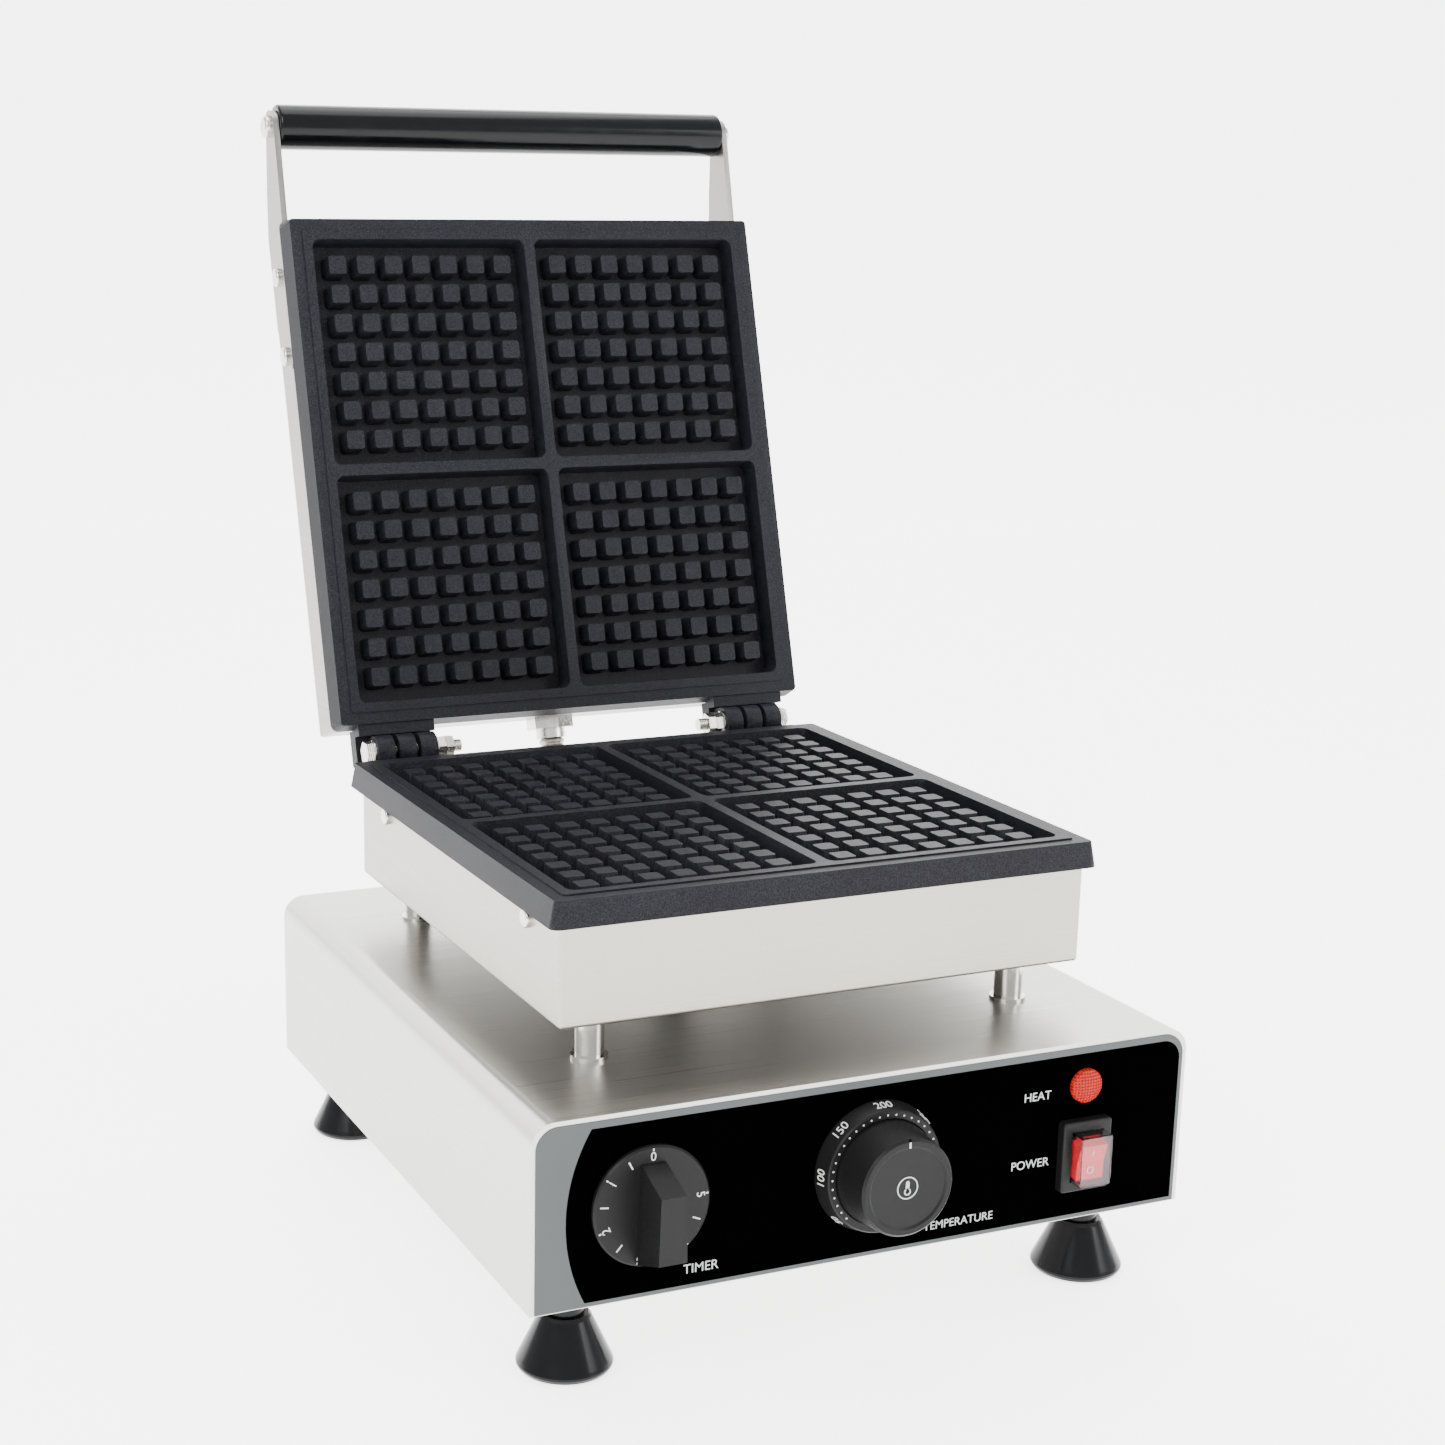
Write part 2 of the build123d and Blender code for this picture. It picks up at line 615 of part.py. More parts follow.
save(handle_grip, "handle_grip")
arm_face = housing_width / 2 + arm_thick
save(screws(side_sets(upper, arm_face, [(grip_y, -grip_drop)]), 2.45, 22.0, 5.4, 3.2), "handle_screws")
save(screws(side_sets(upper, arm_face, arm_places), 2.45, 12.0, 4.6, 2.8), "arm_screws")
with BuildPart() as arm_nuts:
    for plane, places in side_sets(upper, housing_width / 2 - housing_wall, arm_places):
        with BuildSketch(plane):
            with Locations(*places):
                RegularPolygon(4.0, 6, major_radius=False)
                Circle(2.5, mode=Mode.SUBTRACT)
        extrude(amount=-4.0)
save(arm_nuts, "arm_nuts")

# ---------------------------------------------------------------- conduit between the halves
conduit_hex, conduit_hex_height, collar_height = 21.0, 6.0, 5.0
with BuildPart() as conduit_fitting:
    with BuildSketch(cover_back):
        with Locations(fitting_place):
            RegularPolygon(conduit_hex / 2, 6, major_radius=False, rotation=30)
    extrude(amount=conduit_hex_height)
    with BuildSketch(cover_back.offset(conduit_hex_height)):
        with Locations(fitting_place):
            Circle(conduit_radius + 1.0)
    extrude(amount=collar_height)
    with BuildSketch(cover_back):
        with Locations(fitting_place):
            Circle(gland_thread - 0.05)
    extrude(amount=-9.0)
    with BuildSketch(cover_back.offset(-9.0)):
        with Locations(fitting_place):
            Circle(5.0)
    extrude(amount=9.0 + conduit_hex_height + collar_height, mode=Mode.SUBTRACT)
save(conduit_fitting, "conduit_fitting")
with BuildPart() as conduit_locknut:
    with BuildSketch(cover_back.offset(-housing_wall)):
        with Locations(fitting_place):
            RegularPolygon(conduit_hex / 2, 6, major_radius=False)
            Circle(gland_thread, mode=Mode.SUBTRACT)
    extrude(amount=-4.0)
save(conduit_locknut, "conduit_locknut")
save(turned(upright(*conduit_place, casing_top), [
    (conduit_radius + 0.3, -steel - 3.0), (10.5, -steel - 3.0), (10.5, -steel), (conduit_hole - 0.05, -steel),
    (conduit_hole - 0.05, 0), (11.5, 0), (11.0, 2.2), (9.0, 4.0), (conduit_radius + 0.3, 4.0),
]), "conduit_grommet")
hose_end = upper.from_local_coords(
    (-conduit_x, upper_cover_rear + conduit_hex_height + collar_height, -conduit_drop))
hose_down = (upper.from_local_coords((0, 1, 0)) - upper.origin).normalized()
hose_route = [
    Vector(*conduit_place, casing_z + 24.0),
    Vector(*conduit_place, casing_top + 17.0),
    hose_end + hose_down * 14.0,
    hose_end,
]


def arc_radius(route, i):
    """0.45 of the shorter run beside corner i, over the tangent of half its turn."""
    before, after = route[i] - route[i - 1], route[i + 1] - route[i]
    return 0.45 * min(before.length, after.length) / tan(radians(before.get_angle(after) / 2))


hose_radii = [arc_radius(hose_route, i) for i in (1, 2)]
conduit_hose = tube(hose_route, hose_radii, conduit_radius, 5.0)
save(conduit_hose, "conduit_hose")
print("hose radii", [round(r, 1) for r in hose_radii], "volume", round(conduit_hose.part.volume))

# ---------------------------------------------------------------- temperature control
behind_panel = casing_front + steel
thermostat_depth = 32.0


def control_body(x, width, height, depth):
    """Box behind the panel with a threaded bushing for its shaft and two screw holes."""
    with BuildPart() as piece:
        with BuildSketch(panel_plane(behind_panel)):
            with Locations((x, panel_z)):
                Rectangle(width, height)
        extrude(amount=-depth)
        fillet(piece.edges().filter_by(Axis.Y), 3.0)
        with BuildSketch(panel_plane(behind_panel)):
            with Locations((x, panel_z)):
                Circle(bushing_radius - 0.1)
        extrude(amount=behind_panel - front_y)
        with BuildSketch(panel_plane(front_y)):
            with Locations((x, panel_z)):
                Circle(shaft_radius + 0.06)
        extrude(amount=-16.0, mode=Mode.SUBTRACT)
        with BuildSketch(panel_plane(behind_panel)):
            with Locations((x - control_screw_offset, panel_z), (x + control_screw_offset, panel_z)):
                Circle(control_screw)
        extrude(amount=-8.0, mode=Mode.SUBTRACT)
    return piece


save(control_body(thermostat_x, 40.0, 34.0, thermostat_depth), "thermostat_body")
save(control_body(timer_x, 44.0, 44.0, 35.0), "timer_body")
scale_floor = 1.6
scale_ring = turned(outward(thermostat_x, panel_z, front_y), [
    (bushing_radius + 0.2, 0), (28.3, 0), (28.3, 0.8), (26.4, 7.4), (25.8, 8.0), (23.0, 8.0), (23.0, scale_floor),
    (bushing_radius + 0.2, scale_floor),
])
with BuildPart() as temperature_scale:
    add(scale_ring.part)
    with BuildSketch(panel_plane(front_y)):
        with Locations(*control_screw_places[2:]):
            Circle(control_screw + 0.2)
    extrude(amount=scale_floor, mode=Mode.SUBTRACT)
save(temperature_scale, "temperature_scale")
screw_sets = [
    (panel_plane(front_y), control_screw_places[:2]),
    (panel_plane(front_y - scale_floor), control_screw_places[2:]),
]
save(screws(screw_sets, control_screw - 0.05, 6.0, 3.4, 1.4), "control_screws")


def shaft(x, reach):
    return pins(panel_plane(front_y + 14.0), [(x, panel_z)], shaft_radius, 14.0 + reach)


save(shaft(timer_x, 14.0), "timer_shaft")
save(shaft(thermostat_x, 17.0), "temperature_shaft")

knob_bore = shaft_radius + 0.02
with BuildPart() as temperature_knob:
    with BuildSketch(outward(thermostat_x, panel_z, front_y)) as section:
        with BuildLine():
            Polyline(
                (0, 22.5), (18.6, 22.5), (20.3, 3.6), (22.3, 3.6), (22.5, 4.2), (22.5, 8.0), (20.8, 25.0),
                (19.8, 26.0), (17.8, 26.0), (16.8, 25.4), (0, 25.0), close=True,
            )
        make_face()
        with BuildLine():
            Polyline((0, 3.6), (6.5, 3.6), (6.5, 23.0), (0, 23.0), close=True)
        make_face()
    revolve(axis=Axis((thermostat_x, front_y, panel_z), (0, -1, 0)))
    with BuildSketch(panel_plane(front_y - 3.6)):
        with Locations((thermostat_x, panel_z)):
            Circle(knob_bore)
    extrude(amount=14.0, mode=Mode.SUBTRACT)
    # pointer notch in the rim
    with BuildSketch(panel_plane(front_y - 24.6)):
        with Locations((thermostat_x, panel_z + 19.0)):
            Rectangle(1.2, 3.6)
    extrude(amount=2.0, mode=Mode.SUBTRACT)
save(temperature_knob, "temperature_knob")

# ---------------------------------------------------------------- timer knob
disc_radius, disc_back, disc_front, bar_reach = 25.2, 0.6, 3.6, 23.0
with BuildPart() as timer_knob:
    with BuildSketch(outward(timer_x, panel_z, front_y)):
        with BuildLine():
            Polyline(
                (0, disc_back), (8.0, disc_back), (8.0, 2.4), (22.5, 2.4), (22.5, disc_back),
                (disc_radius - 0.6, disc_back), (disc_radius, disc_back + 0.6), (disc_radius, disc_front - 0.8),
                (disc_radius - 0.8, disc_front), (0, disc_front), close=True,
            )
        make_face()
    revolve(axis=Axis((timer_x, front_y, panel_z), (0, -1, 0)))
    with BuildSketch(panel_plane(front_y - disc_front + 0.5)):
        with BuildLine():
            Polyline(
                (timer_x - 5.3, panel_z + 18.2), (timer_x + 5.3, panel_z + 18.2),
                (timer_x + 6.25, panel_z - 23.6), (timer_x - 6.25, panel_z - 23.6), close=True,
            )
        make_face()
    extrude(amount=bar_reach - disc_front + 0.5)
    # sloping ends of the bar
    with BuildSketch(Plane(origin=(timer_x - 10, 0, 0), x_dir=(0, -1, 0), z_dir=(1, 0, 0))) as slopes:
        for direction, shoulder, toe in ((1, 11.0, 18.4), (-1, 16.0, 23.8)):
            with BuildLine():
                Polyline(
                    (-front_y + bar_reach + 1, -(panel_z + direction * shoulder)),
                    (-front_y + disc_front, -(panel_z + direction * toe)),
                    (-front_y + disc_front, -(panel_z + direction * (toe + 2))),
                    (-front_y + bar_reach + 1, -(panel_z + direction * (toe + 2))), close=True,
                )
            make_face()
    extrude(amount=20, mode=Mode.SUBTRACT)
    with BuildSketch(panel_plane(front_y - disc_back)):
        with Locations((timer_x, panel_z)):
            Circle(knob_bore)
    extrude(amount=14.0, mode=Mode.SUBTRACT)
save(timer_knob, "timer_knob")

# ---------------------------------------------------------------- power switch and lamp
bezel_width, bezel_height, bezel_reach = 24.0, 31.5, 4.5
boot_width, boot_height, boot_seat, boot_reach, boot_wall = 15.6, 22.3, 1.8, 12.0, 0.8
well_width, well_height, well_floor = 13.4, 20.4, -14.0
switch_z = casing_z + switch_height
switch_at = (switch_x, switch_z)
with BuildPart() as switch_body:
    with BuildSketch(panel_plane(front_y)):
        with Locations(switch_at):
            RectangleRounded(bezel_width, bezel_height, 1.5)
    extrude(amount=bezel_reach)
    fillet(switch_body.faces().sort_by(Axis.Y)[0].edges(), 1.0)
    with BuildSketch(panel_plane(front_y)):
        with Locations(switch_at):
            Rectangle(cutout_width - 0.4, cutout_height - 0.4)
    extrude(amount=-24.0)
    with BuildSketch(panel_plane(front_y - bezel_reach)):
        with Locations(switch_at):
            Rectangle(boot_width + 0.2, boot_height + 0.2)
    extrude(amount=boot_seat - bezel_reach, mode=Mode.SUBTRACT)
    with BuildSketch(panel_plane(front_y - bezel_reach)):
        with Locations(switch_at):
            Rectangle(well_width, well_height)
    extrude(amount=-(bezel_reach - well_floor), mode=Mode.SUBTRACT)
    for side in (-1, 1):
        with BuildSketch(Plane(origin=(switch_x + side * well_width / 2, front_y, switch_z),
                               x_dir=(0, 1, 0), z_dir=(side, 0, 0))):
            Circle(1.56)
        extrude(amount=1.6, mode=Mode.SUBTRACT)
save(switch_body, "switch_body")
with BuildPart() as switch_boot:
    with BuildSketch(panel_plane(front_y - boot_seat)):
        with Locations(switch_at):
            RectangleRounded(boot_width, boot_height, 1.2)
    extrude(amount=boot_reach - boot_seat)
    fillet(switch_boot.faces().sort_by(Axis.Y)[0].edges(), 1.0)
    with BuildSketch(panel_plane(front_y - boot_seat)):
        with Locations(switch_at):
            Rectangle(boot_width - 2 * boot_wall, boot_height - 2 * boot_wall)
    extrude(amount=boot_reach - boot_seat - boot_wall, mode=Mode.SUBTRACT)
save(switch_boot, "switch_boot")
rocker_tilt, rocker_half = 10.0, 8.2
rocker_plane = Plane(origin=(switch_x, front_y, switch_z), x_dir=(1, 0, 0), z_dir=(0, -1, 0))
with BuildPart() as power_rocker:
    tilted = rocker_plane.rotated((rocker_tilt, 0, 0))
    with BuildSketch(Plane(origin=tilted.origin, x_dir=tilted.y_dir, z_dir=tilted.x_dir)):
        with BuildLine():
            Polyline(
                (-rocker_half, 2.0), (-rocker_half, 8.6), (0, 7.6), (rocker_half, 8.6), (rocker_half, 2.0),
                (2.5, -3.0), (2.5, -7.0), (-2.5, -7.0), (-2.5, -3.0), close=True,
            )
        make_face()
    extrude(amount=well_width / 2 - 0.3, both=True)
    with BuildSketch(Plane(origin=(switch_x, front_y, switch_z), x_dir=(0, 1, 0), z_dir=(1, 0, 0))):
        Circle(1.5)
    extrude(amount=well_width / 2 + 1.2, both=True)
save(power_rocker, "power_rocker")

lamp_z = casing_z + lamp_height
lens = turned(outward(switch_x, lamp_z, front_y), [
    (0, -3.0), (lamp_hole - 0.2, -3.0), (lamp_hole - 0.2, 0), (7.5, 0), (7.5, 1.4), (7.0, 2.2), (4.0, 3.0), (0, 3.2),
])
save(lens, "heat_lamp_lens")
lamp = turned(outward(switch_x, lamp_z, front_y), [
    (0, -3.0), (0, -30.0), (5.6, -30.0), (5.6, -6.0), (7.6, -6.0), (7.6, -steel - overlay_thick),
    (lamp_hole + 0.2, -steel - overlay_thick), (lamp_hole - 0.2, -3.0),
])
save(lamp, "heat_lamp_body")

# ---------------------------------------------------------------- mains inlet
rear_panel = Plane(origin=(0, casing_back, 0), x_dir=(-1, 0, 0), z_dir=(0, 1, 0))
gland_place = (-gland_x, gland_z)
with BuildPart() as cord_gland:
    with BuildSketch(rear_panel):
        with Locations(gland_place):
            RegularPolygon(11.0, 6, major_radius=False)
    extrude(amount=6.0)
    with BuildSketch(rear_panel.offset(6.0)):
        with Locations(gland_place):
            Circle(9.6)
    extrude(amount=12.0)
    fillet(cord_gland.faces().sort_by(Axis.Y)[-1].edges(), 4.0)
    with BuildSketch(rear_panel):
        with Locations(gland_place):
            Circle(gland_thread - 0.05)
    extrude(amount=-(steel + 8.0))
    with BuildSketch(rear_panel.offset(-steel - 8.0)):
        with Locations(gland_place):
            Circle(gland_bore)
    extrude(amount=steel + 8.0 + 18.0, mode=Mode.SUBTRACT)
save(cord_gland, "cord_gland")
save(hex_nuts(rear_panel.offset(-steel - 4.0), [gland_place], 22.0, 4.0, gland_thread), "cord_gland_nut")

with BuildPart() as terminal_block:
    with BuildSketch(Plane.XY.offset(casing_z + steel)):
        with Locations((62.0, casing_back - 44.0)):
            Rectangle(46.0, 20.0)
    extrude(amount=16.0)
    with BuildSketch(Plane.XY.offset(casing_z + steel + 16.0)):
        with Locations((62.0, casing_back - 44.0)):
            with GridLocations(12.0, 10.0, 3, 2):
                Circle(2.4)
    extrude(amount=-8.0, mode=Mode.SUBTRACT)
    fillet(terminal_block.edges().filter_by(Axis.Z).group_by(SortBy.LENGTH)[-1], 2.0)
save(terminal_block, "terminal_block")

# ---------------------------------------------------------------- temperature sensor
bulb_radius, bulb_z = 3.0, land_z - skirt_bottom - web - 3.2
capillary_low = casing_z + 46.0
capillary_route = [
    (0, plate_y + 12.0, bulb_z), (0, sleeve_place[1], bulb_z), (0, sleeve_place[1], capillary_low),
    (0, behind_panel + thermostat_depth, capillary_low),
]
with BuildPart() as thermostat_sensor:
    add(tube(capillary_route, [12.0, 20.0], 0.9).part)
    with BuildSketch(Plane(origin=(0, plate_y + 14.0, bulb_z), x_dir=(1, 0, 0), z_dir=(0, -1, 0))):
        Circle(bulb_radius)
    extrude(amount=80.0)
save(thermostat_sensor, "thermostat_sensor")
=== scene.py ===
"""Looks of the waffle maker: camera, light, materials and the fine pieces that the CAD nodes leave out."""

import json
import math

import bpy
from mathutils import Matrix, Vector


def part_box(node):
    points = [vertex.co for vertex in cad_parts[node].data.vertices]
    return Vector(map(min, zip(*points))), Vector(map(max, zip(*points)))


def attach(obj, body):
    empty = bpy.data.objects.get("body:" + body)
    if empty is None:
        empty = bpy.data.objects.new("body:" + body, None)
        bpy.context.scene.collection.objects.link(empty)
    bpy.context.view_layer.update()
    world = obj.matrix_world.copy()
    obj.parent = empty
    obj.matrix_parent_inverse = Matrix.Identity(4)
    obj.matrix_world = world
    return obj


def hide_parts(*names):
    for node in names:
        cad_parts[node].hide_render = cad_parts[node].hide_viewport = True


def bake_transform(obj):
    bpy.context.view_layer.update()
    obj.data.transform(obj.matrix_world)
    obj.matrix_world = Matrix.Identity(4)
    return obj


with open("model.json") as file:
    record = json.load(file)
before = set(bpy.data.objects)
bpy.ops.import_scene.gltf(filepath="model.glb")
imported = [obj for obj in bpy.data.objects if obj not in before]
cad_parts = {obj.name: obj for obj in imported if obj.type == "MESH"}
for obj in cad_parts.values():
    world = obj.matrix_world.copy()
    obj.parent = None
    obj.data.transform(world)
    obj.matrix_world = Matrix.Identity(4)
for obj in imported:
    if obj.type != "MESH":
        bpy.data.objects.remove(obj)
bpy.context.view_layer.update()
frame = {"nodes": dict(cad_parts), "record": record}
nodes = frame["nodes"]
MM = 0.001

# ---------------------------------------------------------------- camera, in metres and degrees
CAMERA_AT = (-0.47857, -0.99593, 0.46614)
CAMERA_TURN = (75.962, -0.611, -23.338)
CAMERA_LENS = 60.20
CAMERA_SHIFT = (0.0986, 0.0467)

# ---------------------------------------------------------------- places read from the frame
front_y = Vector(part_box("front_overlay")[0]).y
casing_lo, casing_hi = (Vector(c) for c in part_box("base_casing"))
table_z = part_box("foot_front_left")[0][2]
RIGHT, UP, INWARD = Vector((1, 0, 0)), Vector((0, 0, 1)), Vector((0, 1, 0))


def middle(node):
    lo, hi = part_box(node)
    return (Vector(lo) + Vector(hi)) / 2


timer = middle("timer_shaft")
dial = middle("temperature_shaft")
switch = middle("switch_boot")


# ---------------------------------------------------------------- material helpers
def material(name, color, roughness, metallic=0.0, **inputs):
    mat = bpy.data.materials.new(name)
    mat.use_nodes = True
    shader = principled(mat)
    shader.inputs["Base Color"].default_value = (*color, 1)
    shader.inputs["Roughness"].default_value = roughness
    shader.inputs["Metallic"].default_value = metallic
    for key, value in inputs.items():
        shader.inputs[key.replace("_", " ")].default_value = value
    return mat


def principled(mat):
    return mat.node_tree.nodes["Principled BSDF"]


def add_node(mat, kind, **inputs):
    node = mat.node_tree.nodes.new(kind)
    for key, value in inputs.items():
        node.inputs[key.replace("_", " ")].default_value = value
    return node


def link(mat, source, out, target, into):
    mat.node_tree.links.new(source.outputs[out], target.inputs[into])


def object_noise(mat, scale, detail=4.0, roughness=0.6, stretch=(1, 1, 1)):
    """Noise in the frame's own metres, so it stays put on the piece."""
    coords = add_node(mat, "ShaderNodeTexCoord")
    mapping = add_node(mat, "ShaderNodeMapping")
    mapping.inputs["Scale"].default_value = stretch
    noise = add_node(mat, "ShaderNodeTexNoise", Scale=scale, Detail=detail, Roughness=roughness)
    link(mat, coords, "Object", mapping, "Vector")
    link(mat, mapping, "Vector", noise, "Vector")
    return noise


def wave(mat, direction, scale):
    """Even waves across one direction of the frame."""
    coords = add_node(mat, "ShaderNodeTexCoord")
    node = add_node(mat, "ShaderNodeTexWave", Scale=scale)
    node.bands_direction = direction
    link(mat, coords, "Object", node, "Vector")
    return node


def ramp(mat, source, low, high, color_low, color_high):
    node = add_node(mat, "ShaderNodeValToRGB")
    node.color_ramp.elements[0].position = low
    node.color_ramp.elements[0].color = (*color_low, 1)
    node.color_ramp.elements[1].position = high
    node.color_ramp.elements[1].color = (*color_high, 1)
    link(mat, source, 0, node, "Fac")
    return node


def grey(v):
    return (v, v, v)


def multiply_into_base(mat, first, second):
    """The shader's base colour is the product of two ramps."""
    mixed = add_node(mat, "ShaderNodeMix")
    mixed.data_type = "RGBA"
    mixed.blend_type = "MULTIPLY"
    mixed.inputs["Factor"].default_value = 1.0
    link(mat, first, "Color", mixed, 6)
    link(mat, second, "Color", mixed, 7)
    link(mat, mixed, 2, principled(mat), "Base Color")


def uneven_gloss(mat, source, gloss, low=0.35, high=0.65):
    tones = ramp(mat, source, low, high, grey(gloss[0]), grey(gloss[1]))
    link(mat, tones, "Color", principled(mat), "Roughness")


def add_bump(mat, source, strength, distance):
    bump = add_node(mat, "ShaderNodeBump", Strength=strength, Distance=distance)
    link(mat, source, 0, bump, "Height")
    link(mat, bump, "Normal", principled(mat), "Normal")


def finish(name, color, roughness, metallic=0.0, scale=600, gloss=(0.4, 0.5), grain=0.0, depth=0.0001, **more):
    """A plain finish with uneven gloss, and grain in the surface where it has any."""
    mat = material(name, color, roughness, metallic, **more)
    noise = object_noise(mat, scale)
    uneven_gloss(mat, noise, gloss)
    if grain:
        add_bump(mat, noise, grain, depth)
    return mat


# ---------------------------------------------------------------- materials of their own
def brushed(name, color, gloss):
    """Brushed sheet: hair lines along X on faces that look along Y or Z, and along Y on the side faces."""
    along, across = 5, 1900
    mat = material(name, color, 0.3, 1.0, Anisotropic=0.5)
    lines_x = object_noise(mat, 1.0, 3.0, 0.7, (along, across, across))
    lines_y = object_noise(mat, 1.0, 3.0, 0.7, (across, along, across))
    blotch = object_noise(mat, 9.0, 3.0, 0.5)
    geometry = add_node(mat, "ShaderNodeNewGeometry")
    split = add_node(mat, "ShaderNodeSeparateXYZ")
    side = add_node(mat, "ShaderNodeMath")
    side.operation = "ABSOLUTE"
    lines = add_node(mat, "ShaderNodeMix")
    link(mat, geometry, "True Normal", split, 0)
    link(mat, split, "X", side, 0)
    link(mat, side, 0, lines, "Factor")
    link(mat, lines_x, 0, lines, 2)
    link(mat, lines_y, 0, lines, 3)
    uneven_gloss(mat, lines, gloss, 0.25, 0.75)
    tint = ramp(mat, blotch, 0.2, 0.8, tuple(c * 0.93 for c in color), color)
    streak = ramp(mat, lines, 0.1, 0.9, grey(0.90), grey(1.0))
    multiply_into_base(mat, tint, streak)
    add_bump(mat, lines, 0.10, 0.00008)
    return mat


def coating():
    """Speckled non-stick coating: dark, faintly blue, with fine lighter grains and a sandy surface."""
    mat = material("coating", (0.02, 0.02, 0.024), 0.5, 0.0, Specular_IOR_Level=0.12)
    fine = object_noise(mat, 1500.0, 2.0, 0.7)
    broad = object_noise(mat, 22.0, 3.0, 0.6)
    specks = ramp(mat, fine, 0.40, 0.78, (0.0030, 0.0030, 0.0040), (0.019, 0.019, 0.026))
    patches = ramp(mat, broad, 0.3, 0.7, grey(0.85), grey(1.15))
    multiply_into_base(mat, specks, patches)
    uneven_gloss(mat, fine, (0.42, 0.60), 0.3, 0.7)
    add_bump(mat, fine, 0.35, 0.0003)
    return mat


def threaded(name, color):
    """Turned steel with a fine thread across X."""
    mat = material(name, color, 0.25, 1.0)
    add_bump(mat, wave(mat, "X", 320.0), 0.8, 0.0005)
    return mat


def lamp_red():
    """Red lens with a fine square grid moulded into it."""
    mat = material("lamp_red", (0.3, 0.008, 0.004), 0.30, 0.0, Specular_IOR_Level=0.08)
    shader = principled(mat)
    shader.inputs["Emission Color"].default_value = (1.0, 0.10, 0.03, 1)
    shader.inputs["Emission Strength"].default_value = 0.06
    grid = add_node(mat, "ShaderNodeMath")
    link(mat, wave(mat, "X", 230.0), "Fac", grid, 0)
    link(mat, wave(mat, "Z", 230.0), "Fac", grid, 1)
    add_bump(mat, grid, 0.7, 0.0006)
    tones = ramp(mat, grid, 0.5, 1.0, (0.13, 0.0025, 0.0015), (0.32, 0.010, 0.005))
    link(mat, tones, "Color", shader, "Base Color")
    return mat


# ---------------------------------------------------------------- every finish by name
PLATED, METAL = (0.55, 0.535, 0.50), 1.0
looks = {
    "steel": brushed("steel", (0.50, 0.492, 0.470), (0.24, 0.40)),
    "steel_warm": brushed("steel_warm", (0.37, 0.342, 0.300), (0.24, 0.40)),
    # A darker copy of the same brushed steel: painted shade, used on the cover and handle arms.
    "steel_painted_shade": brushed("steel_painted_shade", (0.25, 0.241, 0.224), (0.26, 0.42)),
    "coating": coating(),
    "black_gloss": finish(
        "black_gloss", (0.0012, 0.0014, 0.0020), 0.18, scale=60, gloss=(0.14, 0.24), Specular_IOR_Level=0.16
    ),
    "black_satin": finish(
        "black_satin", (0.0045, 0.0045, 0.0048), 0.4, scale=1200, gloss=(0.36, 0.48), grain=0.12, depth=0.00012,
        Specular_IOR_Level=0.13,
    ),
    "panel_grey": finish(
        "panel_grey", (0.055, 0.061, 0.062), 0.35, scale=900, gloss=(0.30, 0.40), grain=0.05,
        Specular_IOR_Level=0.15,
    ),
    "panel_black": finish(
        "panel_black", (0.0003, 0.0003, 0.0004), 0.3, scale=700, gloss=(0.26, 0.36), Specular_IOR_Level=0.0
    ),
    "print_grey": finish("print_grey", (0.34, 0.35, 0.35), 0.5, scale=2000, gloss=(0.45, 0.55)),
    "print_white": finish("print_white", (0.45, 0.45, 0.44), 0.5, scale=2000, gloss=(0.45, 0.55)),
    "zinc": finish("zinc", PLATED, 0.25, METAL, scale=500, gloss=(0.18, 0.32), grain=0.08),
    "polished": finish("polished", PLATED, 0.12, METAL, scale=300, gloss=(0.08, 0.18), grain=0.04),
    "thread": threaded("thread", (0.55, 0.525, 0.47)),
    "rocker_red": finish(
        "rocker_red", (0.55, 0.010, 0.022), 0.3, scale=600, gloss=(0.2, 0.3), Specular_IOR_Level=0.2
    ),
    "clear": material("clear", (0.96, 0.97, 0.97), 0.08, 0.0, Transmission_Weight=1.0, IOR=1.35),
    "conduit": finish("conduit", (0.36, 0.33, 0.29), 0.35, 0.85, scale=700, gloss=(0.28, 0.42), grain=0.1),
    "rubber": finish("rubber", (0.018, 0.018, 0.018), 0.6, scale=900, gloss=(0.52, 0.68), grain=0.15),
    "wool": finish("wool", (0.62, 0.57, 0.42), 0.9, scale=240, gloss=(0.85, 0.95), grain=0.8, depth=0.002),
    "copper": finish("copper", (0.72, 0.36, 0.20), 0.3, METAL, scale=300, gloss=(0.25, 0.38)),
    "thermoset": finish("thermoset", (0.62, 0.58, 0.50), 0.5, scale=500, gloss=(0.45, 0.6), grain=0.1),
    "lamp_red": lamp_red(),
}

# ---------------------------------------------------------------- finishes of the CAD nodes
look_of_slot = {
    "brushed_stainless": "steel",
    "coated_aluminium": "coating",
    "panel_film": "panel_grey",
    "black_gloss": "black_gloss",
    "black_satin": "black_satin",
    "zinc_fastener": "zinc",
    "polished_steel": "polished",
    "lamp_red": "lamp_red",
    "rocker_red": "rocker_red",
    "clear_boot": "clear",
    "conduit_metal": "conduit",
    "mineral_wool": "wool",
    "copper": "copper",
    "thermoset": "thermoset",
    "rubber_black": "rubber",
}
look_of_node = {
    "lower_housing": "steel_warm",
    # The cover and handle arms are the same steel as the casing, given the darker copy as painted shade.
    "upper_cover": "steel_painted_shade",
    "handle_arm_left": "steel_painted_shade",
    "handle_arm_right": "steel_painted_shade",
    "hinge_bolts": "thread",
}
for part in frame["record"]["subparts"]:
    name = part["node"]
    look = look_of_node.get(name, look_of_slot[part["material_slot"]])
    nodes[name].data.materials.clear()
    nodes[name].data.materials.append(looks[look])


# ---------------------------------------------------------------- soft edges on the castings
def soften(node, width):
    piece = nodes[node]
    weld = piece.modifiers.new("weld", "WELD")
    weld.merge_threshold = 0.00001
    bevel = piece.modifiers.new("bevel", "BEVEL")
    bevel.width = width
    bevel.segments = 2
    bevel.limit_method = "ANGLE"
    bevel.angle_limit = math.radians(35)
    bevel.harden_normals = True


